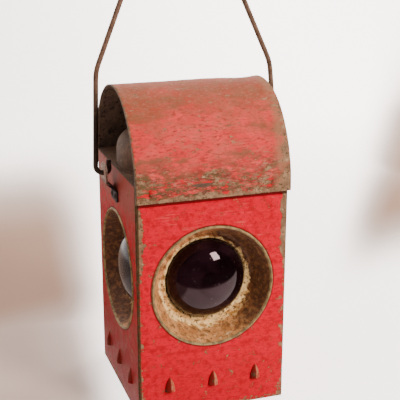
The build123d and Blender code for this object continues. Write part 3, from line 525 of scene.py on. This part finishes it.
def rusty_tinned_steel():
    """Tinned steel gone gold-brown, pitted dark.  The wall turned from the light is brown-black,
    and a cream and gold crust of corrosion lies round the glass, thickest below it."""
    material, tree, place = new_material("rusty_tinned_steel")
    split = put(tree, "SeparateXYZ", (place,)).outputs
    x, z = split["X"], split["Z"]
    side = round_the_sides(tree, place)
    gold = coats(
        tree,
        "#B87640",
        (blotch(tree, place, 11, 0.36, 0.64), "#DE9C5E"),
        (blotch(tree, place, 5, 0.48, 0.64, seed=0.6, detail=7), "#84542E"),
        (blotch(tree, place, 2.2, 0.56, 0.7, seed=1.6), "#402414"),
        (blotch(tree, place, 7, 0.56, 0.72, seed=2.6, detail=6), "#E8BC88"),
    )
    # the shaded wall lies to the right and above, and most of the left pan is in shade
    sideways = uneven(tree, place, side["sideways"], 12, 0.02, 7.7)
    shaded = put(tree, "Math", (side["over_lens"], 0.3, sideways), operation="MULTIPLY_ADD")
    left_pan = where(tree, (x, -0.046, -0.052, 0.0, 0.052))
    shaded = put(tree, "Math", (shaded, left_pan), operation="ADD")
    dark = coats(tree, "#3E1C0E", (blotch(tree, place, 4, 0.46, 0.62, detail=6, seed=11.3), "#7C4E2E"))
    crusted = uneven(tree, place, side["from_lens"], 9, 0.005, 3.6)
    for limit in ((z, 0.118, 0.160, 0.0, 4.5 * MM), (z, 0.125, 0.090, 0.0, -2.8 * MM)):
        crusted = put(tree, "Math", (crusted, where(tree, limit)), operation="ADD")
    crust = coats(
        tree,
        "#FFD894",
        (blotch(tree, place, 5.5, 0.44, 0.66, seed=4.6), "#C08844"),
        (blotch(tree, place, 2.8, 0.54, 0.62, seed=9.0, detail=7), "#4E2E14"),
    )
    olive = coats(tree, "#746040", (blotch(tree, place, 6, 0.4, 0.6, seed=5.6), "#A88C5C"))
    colour = coats(
        tree,
        gold,
        ((shaded, 0.022, 0.046, 0.0, 0.88), dark),
        ((crusted, PAN_FLOOR + 2.6 * MM, PAN_FLOOR + 1.0 * MM), crust),
        ((side["outward"], BODY_HALF - 1.0 * MM, BODY_HALF - 0.2 * MM), olive),
    )
    scale = blotch(tree, place, 1.8, 0.3, 0.7, detail=6, seed=6.6)
    finish(tree, {"Base Color": colour, "Roughness": 0.6, "Metallic": 0.25}, scale, 0.5, 0.5 * MM)
    return material


pan_steel = rusty_tinned_steel()
for side, turn in SIDES.items():
    made = bmesh.new()
    rings = spin(made, pan_outline(), turn, pan_scale)
    for i in range(SPIN_STEPS):
        j = (i + 1) % SPIN_STEPS
        made.faces.new((rings[-1][i], rings[-1][j], rings[0][j], rings[0][i]))
    piece = finish_mesh(f"pan_{side}", made, [pan_steel], "body", 60)
    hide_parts(f"lens_pan_{side}")
    # the ring that holds the glass from behind is the same steel
    dress(pan_steel, f"lens_ring_{side}")

# ---------------------------------------------------------------- glasses
# Pressed bull's-eyes that sit in the pans: near-black ruby in front and behind, clear with a
# cold grey cast at the sides.  Fire-polished, so they mirror the room sharply.
LENS_RECESS = 2.0 * MM
LENS_FLANGE = 3.0 * MM
GLASS_INDEX = 1.52
DOME_STEPS = 40


def lens_outline():
    """A deep dome, its flange, and the flat back."""
    back = PAN_DEPTH + SHEET
    rise = back - LENS_RECESS
    angles = [math.pi / 2 * step / DOME_STEPS for step in range(1, DOME_STEPS + 1)]
    dome = [(LENS_RADIUS * math.sin(angle), back - rise * math.cos(angle)) for angle in angles]
    flange = [(LENS_RADIUS + LENS_FLANGE, back), (LENS_RADIUS + LENS_FLANGE, back + LENS_FLANGE)]
    return dome + flange + [(LENS_RADIUS * 0.5, back + LENS_FLANGE)]


def pressed_glass(name, colour, haze, clearness, rough, shine, tint, grime):
    """Thick coloured glass: dark in its depth, a sharp highlight, a faint smoky film in clouds,
    dust in patches and a few pale specks."""
    material, tree, place = new_material(name)
    dust = blotch(tree, place, 5, 0.58, 0.78, detail=6, seed=1.0)
    body = coats(
        tree,
        colour,
        (blotch(tree, place, 30, 0.44, 0.66, detail=3, seed=21.0), haze),
        (where(tree, dust, 0.10), grime),
        (blotch(tree, place, 1.1, 0.765, 0.80, detail=1, seed=6.2), "#B8AEA8"),
    )
    inputs = {
        "Base Color": body,
        "Roughness": put(tree, "MapRange", (dust, 0.0, 1.0, rough, rough + 0.10)),
        "IOR": GLASS_INDEX,
        "Specular IOR Level": shine,
        "Specular Tint": linear(tint),
        "Transmission Weight": clearness,
    }
    finish(tree, inputs, blotch(tree, place, 9, 0.3, 0.7, seed=2.0), 0.05, 0.4 * MM)
    return material


ruby = pressed_glass("ruby_pressed_glass", "#0D0306", "#1F0E15", 0.12, 0.03, 0.23, "#FFD8DF", "#3A2A22")
clear = pressed_glass("clear_pressed_glass", "#3C4048", "#46484E", 0.5, 0.14, 0.14, "#F2F6FF", "#4A4038")
GLASSES = {
    "front": (ruby, "ruby_glass"),
    "right": (clear, "clear_glass"),
    "rear": (ruby, "ruby_glass"),
    "left": (clear, "clear_glass"),
}
for side, (material, slot) in GLASSES.items():
    made = bmesh.new()
    rings = spin(made, lens_outline(), SIDES[side])
    made.faces.new(rings[0])
    made.faces.new(list(reversed(rings[-1])))
    piece = finish_mesh(f"glass_{side}", made, [material], "body", 40)
    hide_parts(f"lens_{side}")

# ---------------------------------------------------------------- font and burner
# The oil font is soldered tinplate; collar, burner and cap are turned and spun brass, dulled
# brown; the wick is woven cotton charred at its top, and a cork washer seals the cap.
WICK_RIB = 1.5 * MM
# a wave texture at scale 1 has this many metres from rib to rib
WAVE_LENGTH = math.pi / 10
CHAR_START = 103.5 * MM
CHAR_END = 106.5 * MM


def dull_tinplate():
    """Old tinned sheet: soft grey shine, clouded, with brown stains where the tin has gone."""
    material, tree, place = new_material("dull_tinplate")
    colour = coats(
        tree,
        "#8E8A82",
        (blotch(tree, place, 14, 0.35, 0.65), "#A39E94"),
        (blotch(tree, place, 4, 0.54, 0.7, seed=1.2, detail=6), "#6E5A46"),
    )
    clouds = blotch(tree, place, 9, 0.2, 0.8, seed=3.0)
    rough = put(tree, "MapRange", (clouds, 0.0, 1.0, 0.32, 0.52))
    finish(tree, {"Base Color": colour, "Roughness": rough, "Metallic": 0.9}, clouds, 0.2, 0.4 * MM)
    return material


def dull_brass():
    """Turned brass under years of lamp oil: brown-gold, with fine level tool marks."""
    material, tree, place = new_material("dull_brass")
    colour = coats(
        tree,
        "#8C6A34",
        (blotch(tree, place, 8, 0.35, 0.65), "#A98446"),
        (blotch(tree, place, 2.4, 0.52, 0.7, seed=1.4, detail=6), "#5A4226"),
    )
    turned = blotch(tree, place, 3, 0.3, 0.7, seed=2.4, stretch=(0.2, 0.2, 6.0))
    rough = put(tree, "MapRange", (turned, 0.0, 1.0, 0.28, 0.46))
    finish(tree, {"Base Color": colour, "Roughness": rough, "Metallic": 1.0}, turned, 0.15, 0.3 * MM)
    return material


def woven_cotton():
    """Flat woven wick: pale cross ribs 1.5 mm apart, charred black at the flame."""
    material, tree, place = new_material("woven_cotton_wick")
    thread = {
        "Vector": place,
        "Scale": WAVE_LENGTH / WICK_RIB,
        "Distortion": 1.5,
        "Detail": 2.0,
        "Detail Scale": 2.0,
    }
    weave = put(tree, "TexWave", thread, bands_direction="Z").outputs["Fac"]
    height = put(tree, "SeparateXYZ", (place,)).outputs["Z"]
    charred = (uneven(tree, place, height, 3, 0.002, 1.0), CHAR_START, CHAR_END)
    colour = coats(tree, "#9A8C74", (weave, "#D6CAB2"), (charred, "#17120E"))
    finish(tree, {"Base Color": colour, "Roughness": 0.92}, weave, 0.5, 0.4 * MM)
    return material


def pressed_cork():
    """Warm tan cork with small dark grains, quite matt."""
    material, tree, place = new_material("pressed_cork")
    # cork granules are 1 to 2 mm across, with finer dark lines between them
    grain = blotch(tree, place, 0.9, 0.5, 0.62, seed=1.0)
    colour = coats(tree, "#8A6A48", (blotch(tree, place, 1.8, 0.4, 0.6), "#B08C64"), (grain, "#4E3A28"))
    finish(tree, {"Base Color": colour, "Roughness": 0.9}, grain, 0.4, 0.3 * MM)
    return material


dress(dull_tinplate(), "font_tank", "font_seat")
brass = dull_brass()
dress(brass, "font_collar", "filler_neck", "filler_cap", "burner_body", "burner_cone")
dress(brass, "wick_tube", "raiser_spindle", "raiser_knob")
dress(woven_cotton(), "wick")
dress(pressed_cork(), "cap_washer")

# ---------------------------------------------------------------- ears and bail
# The bail is rusted fencing-grade wire.  It hangs in two bent strap ears of the same steel,
# riveted to the sides and rubbed bright where the wire moves.


def ear_steel_shaded_foot():
    """The ears' lugs are rubbed pale by the wire; their feet are painted near black, as painted
    shade in the gap beside the body.
    """
    material, tree, place = new_material("ear_steel_painted_shade_foot")
    height = put(tree, "SeparateXYZ", (place,)).outputs["Z"]
    # painted shade: the feet are near black where the gap beside the body lies in shade
    foot = (uneven(tree, place, height, 6, 0.006, 1.4), 0.2330, 0.2240)
    colour = coats(
        tree,
        "#9A7C6C",
        (blotch(tree, place, 6, 0.36, 0.64), "#BC9C8C"),
        (blotch(tree, place, 2.2, 0.5, 0.68, seed=0.6), "#6B4B3C"),
        (foot, "#241613"),
    )
    pitted = blotch(tree, place, 1.6, 0.3, 0.7, detail=5)
    finish(tree, {"Base Color": colour, "Roughness": 0.62, "Metallic": 0.2}, pitted, 0.4, 0.3 * MM)
    return material


def rusted_wire():
    """Drawn wire rusted brown, freckled dark and light, and near black low down towards the ears."""
    material, tree, place = new_material("rusted_drawn_wire")
    height = put(tree, "SeparateXYZ", (place,)).outputs["Z"]
    dark_low_down = (uneven(tree, place, height, 18, 0.02, 3.0), 0.318, 0.290, 0.0, 0.78)
    colour = coats(
        tree,
        "#60432F",
        (blotch(tree, place, 12, 0.36, 0.64), "#785644"),
        (blotch(tree, place, 2.4, 0.5, 0.68, seed=0.6), "#3A241B"),
        (blotch(tree, place, 1.4, 0.62, 0.72, seed=1.6), "#B58C62"),
        (dark_low_down, "#27140F"),
    )
    pitted = blotch(tree, place, 1.3, 0.3, 0.7, detail=5)
    finish(tree, {"Base Color": colour, "Roughness": 0.58, "Metallic": 0.3}, pitted, 0.45, 0.3 * MM)
    return material


dress(ear_steel_shaded_foot(), "ear_left", "ear_right", "ear_rivets")
dress(rusted_wire(), "bail_wire")

# ---------------------------------------------------------------- hood
# The hood is one sheet bent to a three-centred barrel, its ends and skirts folded back on
# themselves.  Red enamel, bleached on the crown, scraped to bare steel along the skirts.
HOOD_LOW, HOOD_HIGH = (Vector(c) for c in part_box("hood_shell"))
HOOD_DEPTH = HOOD_HIGH.y
HOOD_LENGTH = HOOD_HIGH.x
HOOD_SPRING = HOOD_LOW.z + 3.6 * MM
HOOD_RISE = HOOD_HIGH.z - HOOD_SPRING
FOLD = 3.6 * MM
FOLD_ROUND = 0.45 * MM
ACROSS_STEPS = 44
ARCH_STEPS = 88
SKIRT_STEPS = 5
# the flanks are struck from beyond the middle, and the crown closes them
FLANK_REACH = 22.3 * MM
FLANK_RADIUS = HOOD_DEPTH + FLANK_REACH
flatness = FLANK_RADIUS - HOOD_RISE
CROWN_LIFT = (FLANK_REACH**2 - flatness**2) / (2 * flatness)
CROWN_RADIUS = HOOD_RISE - CROWN_LIFT
FLANK_TURN = math.atan2(CROWN_LIFT, FLANK_REACH)
HOOD_DENTS = [
    # place along X, turn over the arch in degrees, depth, spread (all mm but the turn)
    (-48, 28, 1.3, 13),
    (22, 62, 1.0, 20),
    (55, 18, 1.4, 11),
    (-12, 12, 0.8, 16),
    (60, 100, 1.2, 15),
    (-30, 128, 1.5, 18),
]
# the wear on the hood was dragged along it
LONG_SCRAPES = (0.45, 1.0, 1.3)
# between these heights the paint gives way to the bare mottling of the skirts
SKIRTS = (0.256, 0.222)


def arch_stations():
    """Points and outward normals along the hood, front skirt over the crown to the rear."""
    stations = []
    for step in range(SKIRT_STEPS):
        z = HOOD_LOW.z + (HOOD_SPRING - HOOD_LOW.z) * step / SKIRT_STEPS
        stations.append((Vector((0, -HOOD_DEPTH, z)), Vector((0, -1, 0))))
    skirt = [(Vector((p.x, -p.y, p.z)), Vector((0, 1, 0))) for p, _ in reversed(stations)]
    for step in range(ARCH_STEPS + 1):
        turn = math.pi * step / ARCH_STEPS
        normal = Vector((0, -math.cos(turn), math.sin(turn)))
        if turn < FLANK_TURN:
            centre, radius = Vector((0, FLANK_REACH, HOOD_SPRING)), FLANK_RADIUS
        elif turn > math.pi - FLANK_TURN:
            centre, radius = Vector((0, -FLANK_REACH, HOOD_SPRING)), FLANK_RADIUS
        else:
            centre, radius = Vector((0, 0, HOOD_SPRING + CROWN_LIFT)), CROWN_RADIUS
        stations.append((centre + normal * radius, normal))
    return stations + skirt


def ripple(place, amount, spread):
    """How far beaten sheet lies below its true face: a slow ripple, never proud."""
    return -amount * (0.5 + 0.5 * noise.noise(place / spread))


def hood_sink(place):
    """Ripples and dents of the barrel, calmer on the folded edges, which wander a little."""
    sink = ripple(place, 0.9 * MM, 42 * MM) + ripple(place * 1.7, 0.3 * MM, 17 * MM)
    for x, turn, depth, spread in HOOD_DENTS:
        angle = math.radians(turn)
        centre = Vector((x * MM, -HOOD_DEPTH * math.cos(angle), HOOD_SPRING + HOOD_RISE * math.sin(angle)))
        sink -= depth * MM * math.exp(-(((place - centre).length / (spread * MM)) ** 2))
    end = max(0.0, abs(place.x) - HOOD_LENGTH + 8 * MM) / (8 * MM)
    low = max(0.0, HOOD_LOW.z + 8 * MM - place.z) / (8 * MM)
    wander = noise.noise(place / (9 * MM)) * 0.35 * MM - 0.2 * MM
    return sink * (1 - 0.7 * max(end, low)) + wander * max(end, low)


def fold_section(end, gauge):
    """Outline across the sheet at one place: x and depth below the face, round-edged folds."""
    face = [(-end + 2 * end * i / ACROSS_STEPS, 0.0) for i in range(ACROSS_STEPS + 1)]
    face[0] = (-end + 0.5 * MM, 0.0)
    face[-1] = (end - 0.5 * MM, 0.0)
    right = [(end, FOLD_ROUND), (end, 2 * SHEET - FOLD_ROUND), (end - 0.5 * MM, 2 * SHEET)]
    right += [(end - FOLD, 2 * SHEET), (end - FOLD - 0.3 * MM, gauge)]
    back = [(-x, gauge) for x, depth in face if abs(x) < end - FOLD - 1.0 * MM]
    left = [(-x, depth) for x, depth in reversed(right)]
    return face + right + back + left


def faded_enamel():
    """Red enamel bleached by heat and weather: chalky pink-red below, brown on the crown, olive
    and tan mottling towards the skirts, bright red left in patches, bare steel at the edges."""
    material, tree, place = new_material("faded_red_enamel_on_steel")
    split = put(tree, "SeparateXYZ", (place,)).outputs
    x, z = split["X"], split["Z"]
    skirtward = uneven(tree, place, z, 30, -0.02, 6.6)
    crownward = uneven(tree, place, z, 34, 0.03, 3.1)
    bleached = coats(
        tree,
        "#94482F",
        (blotch(tree, place, 12, 0.35, 0.65, seed=5.0), "#8A583C"),
        (blotch(tree, place, 3, 0.5, 0.7, seed=5.5), "#9C6650"),
    )
    mottle = blotch(tree, place, 6.0, 0.41, 0.53, detail=9, seed=1.1, rough=0.78, stretch=LONG_SCRAPES)
    drab = coats(tree, "#783A30", (blotch(tree, place, 3.4, 0.4, 0.6, seed=8.1), "#48382A"))
    pale = blotch(tree, place, 2.8, 0.50, 0.66, detail=6, seed=7.7, stretch=LONG_SCRAPES)
    # olive patches, most at the lower left corner
    corner = where(tree, (x, -0.030, -0.072, 0.0, 0.10), (z, 0.262, 0.232))
    olive = blotch(tree, place, 4.6, 0.0, 1.0, detail=8, seed=15.5, rough=0.75, stretch=LONG_SCRAPES)
    olive = put(tree, "Math", (olive, corner), operation="ADD")
    bright = blotch(tree, place, 8, 0.56, 0.62, detail=6, seed=12.0, stretch=LONG_SCRAPES)
    # the right end is faded in a strip that leans with the arch
    leaning = put(tree, "Math", (z, -0.10, x), operation="MULTIPLY_ADD")
    faded = blotch(tree, place, 9, 0.30, 0.56, seed=2.9, detail=6)
    colour = coats(
        tree,
        "#DC3238",
        (blotch(tree, place, 26, 0.34, 0.66), "#E64C4A"),
        (blotch(tree, place, 8, 0.46, 0.70, seed=0.3, stretch=LONG_SCRAPES), "#C8584C"),
        (blotch(tree, place, 2.4, 0.50, 0.70, seed=2.3, stretch=LONG_SCRAPES), "#9C342C"),
        (blotch(tree, place, 15, 0.50, 0.66, seed=9.3, stretch=LONG_SCRAPES), "#94503C"),
        ((crownward, 0.290, 0.334, 0.0, 0.88), bleached),
        (where(tree, mottle, (skirtward, *SKIRTS, 0.16, 0.98)), drab),
        (where(tree, pale, (skirtward, *SKIRTS, 0.10, 0.70)), "#A8705F"),
        (where(tree, (olive, 0.52, 0.60), (skirtward, *SKIRTS, 0.12, 0.92)), "#5E5036"),
        (where(tree, bright, (z, 0.250, 0.236)), "#CE1420"),
        (where(tree, faded, (leaning, 0.0320, 0.0420, 0.0, 0.75)), "#966C50"),
    )
    # most wear is at the two ends and along the skirts
    wear = worn(
        tree,
        blotch(tree, place, 6.5, 0.0, 1.0, detail=8, seed=4.1, rough=0.74, stretch=LONG_SCRAPES),
        (skirtward, *SKIRTS, 0.0, 0.08),
        (x, -0.0735, -0.0772, 0.0, 0.30),
        (leaning, 0.0380, 0.0490, 0.0, 0.22),
        (z, 0.2285, 0.2228, 0.0, 0.26),
    )
    scraped = where(tree, (wear, 0.62, 0.70))
    # darker along the left end: the bare steel there, and everything low down at that end
    steel = coats(tree, bare_steel(tree, place), ((x, -0.0750, -0.0775, 0.0, 0.75), "#43382A"))
    darker_left_end = where(tree, (x, -0.0738, -0.0776, 0.0, 0.7), (z, 0.275, 0.240))
    # specks of rust, drawn coarser than the real ones so that they show
    specks = blotch(tree, place, 1.3, 0.66, 0.73, 0.0, 0.8, detail=2, seed=4.4)
    colour = coats(tree, colour, (scraped, steel), (darker_left_end, "#3A3024"), (specks, "#5E3A2A"))
    chalky = blotch(tree, place, 3, 0.3, 0.7, seed=6.0, detail=6)
    relief = put(tree, "Math", (chalky, scraped), operation="SUBTRACT")
    inputs = {
        "Base Color": colour,
        "Roughness": put(tree, "MapRange", (scraped, 0.0, 1.0, 0.55, 0.62)),
        "Specular IOR Level": ENAMEL_SHINE,
    }
    finish(tree, inputs, relief, 0.35, 0.4 * MM)
    return material


def soot():
    """The inside over the flame: rust under a matt black-brown bloom of soot."""
    material, tree, place = new_material("soot_on_rusted_steel")
    colour = coats(
        tree,
        "#66544A",
        (blotch(tree, place, 14, 0.35, 0.65), "#7C6656"),
        (blotch(tree, place, 4, 0.5, 0.7, seed=1.0), "#332822"),
    )
    crust = blotch(tree, place, 2.5, 0.3, 0.7, seed=2.0)
    finish(tree, {"Base Color": colour, "Roughness": 0.85}, crust, 0.4, 0.6 * MM)
    return material


hood_mesh = bmesh.new()
hood_rows = []
for point, normal in arch_stations():
    gauge = 2 * SHEET if point.z < HOOD_LOW.z + FOLD else SHEET
    row = []
    for x, inset in fold_section(HOOD_LENGTH, gauge):
        place = Vector((x, point.y, point.z))
        row.append(place + normal * (hood_sink(place) - inset))
    hood_rows.append(row)
grid = lattice(hood_mesh, hood_rows)
around = len(grid[0])
for number, face in enumerate(hood_mesh.faces):
    # past the outer face and its first folded edge, the sheet is inside
    if number % around > ACROSS_STEPS + 1:
        face.material_index = 1
hood_mesh.faces.new(grid[0])
hood_mesh.faces.new(list(reversed(grid[-1])))
hood_paint = faded_enamel()
hood = finish_mesh("hood_barrel", hood_mesh, [hood_paint, soot()], "hood", 50)
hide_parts("hood_shell")
dress(hood_paint, "hood_rivets")

# ---------------------------------------------------------------- lid and dome
# The lid plate is riveted under the hood and carries the spun dome over the flame.  Dull brown
# rusted steel, blackened by smoke towards the crown.
SMOKE_START = 272 * MM
SMOKE_FULL = 304 * MM


def smoked_steel():
    """Rusty brown steel with a few pale pits, dying away to smoke black above."""
    material, tree, place = new_material("smoked_rusty_steel")
    height = put(tree, "SeparateXYZ", (place,)).outputs["Z"]
    colour = coats(
        tree,
        "#553A2A",
        (blotch(tree, place, 16, 0.35, 0.65), "#694933"),
        (blotch(tree, place, 4, 0.48, 0.7, seed=0.8), "#4B3526"),
        (blotch(tree, place, 1.6, 0.6, 0.72, seed=2.8), "#9A8468"),
        ((uneven(tree, place, height, 20, 0.02, 4.0), SMOKE_START, SMOKE_FULL), "#221A16"),
    )
    pitted = blotch(tree, place, 3, 0.3, 0.7, detail=6)
    finish(tree, {"Base Color": colour, "Roughness": 0.7, "Metallic": 0.1}, pitted, 0.45, 0.6 * MM)
    return material


dress(smoked_steel(), "lid_pan", "inner_dome")

# ---------------------------------------------------------------- hinge
# A strap hinge of bare steel at the rear, riveted to the body and to the hood's rear skirt, so
# that the hood, lid and dome open together.
dress(fittings, "hinge_leaf_body", "hinge_leaf_hood", "hinge_pin", "hinge_rivets")
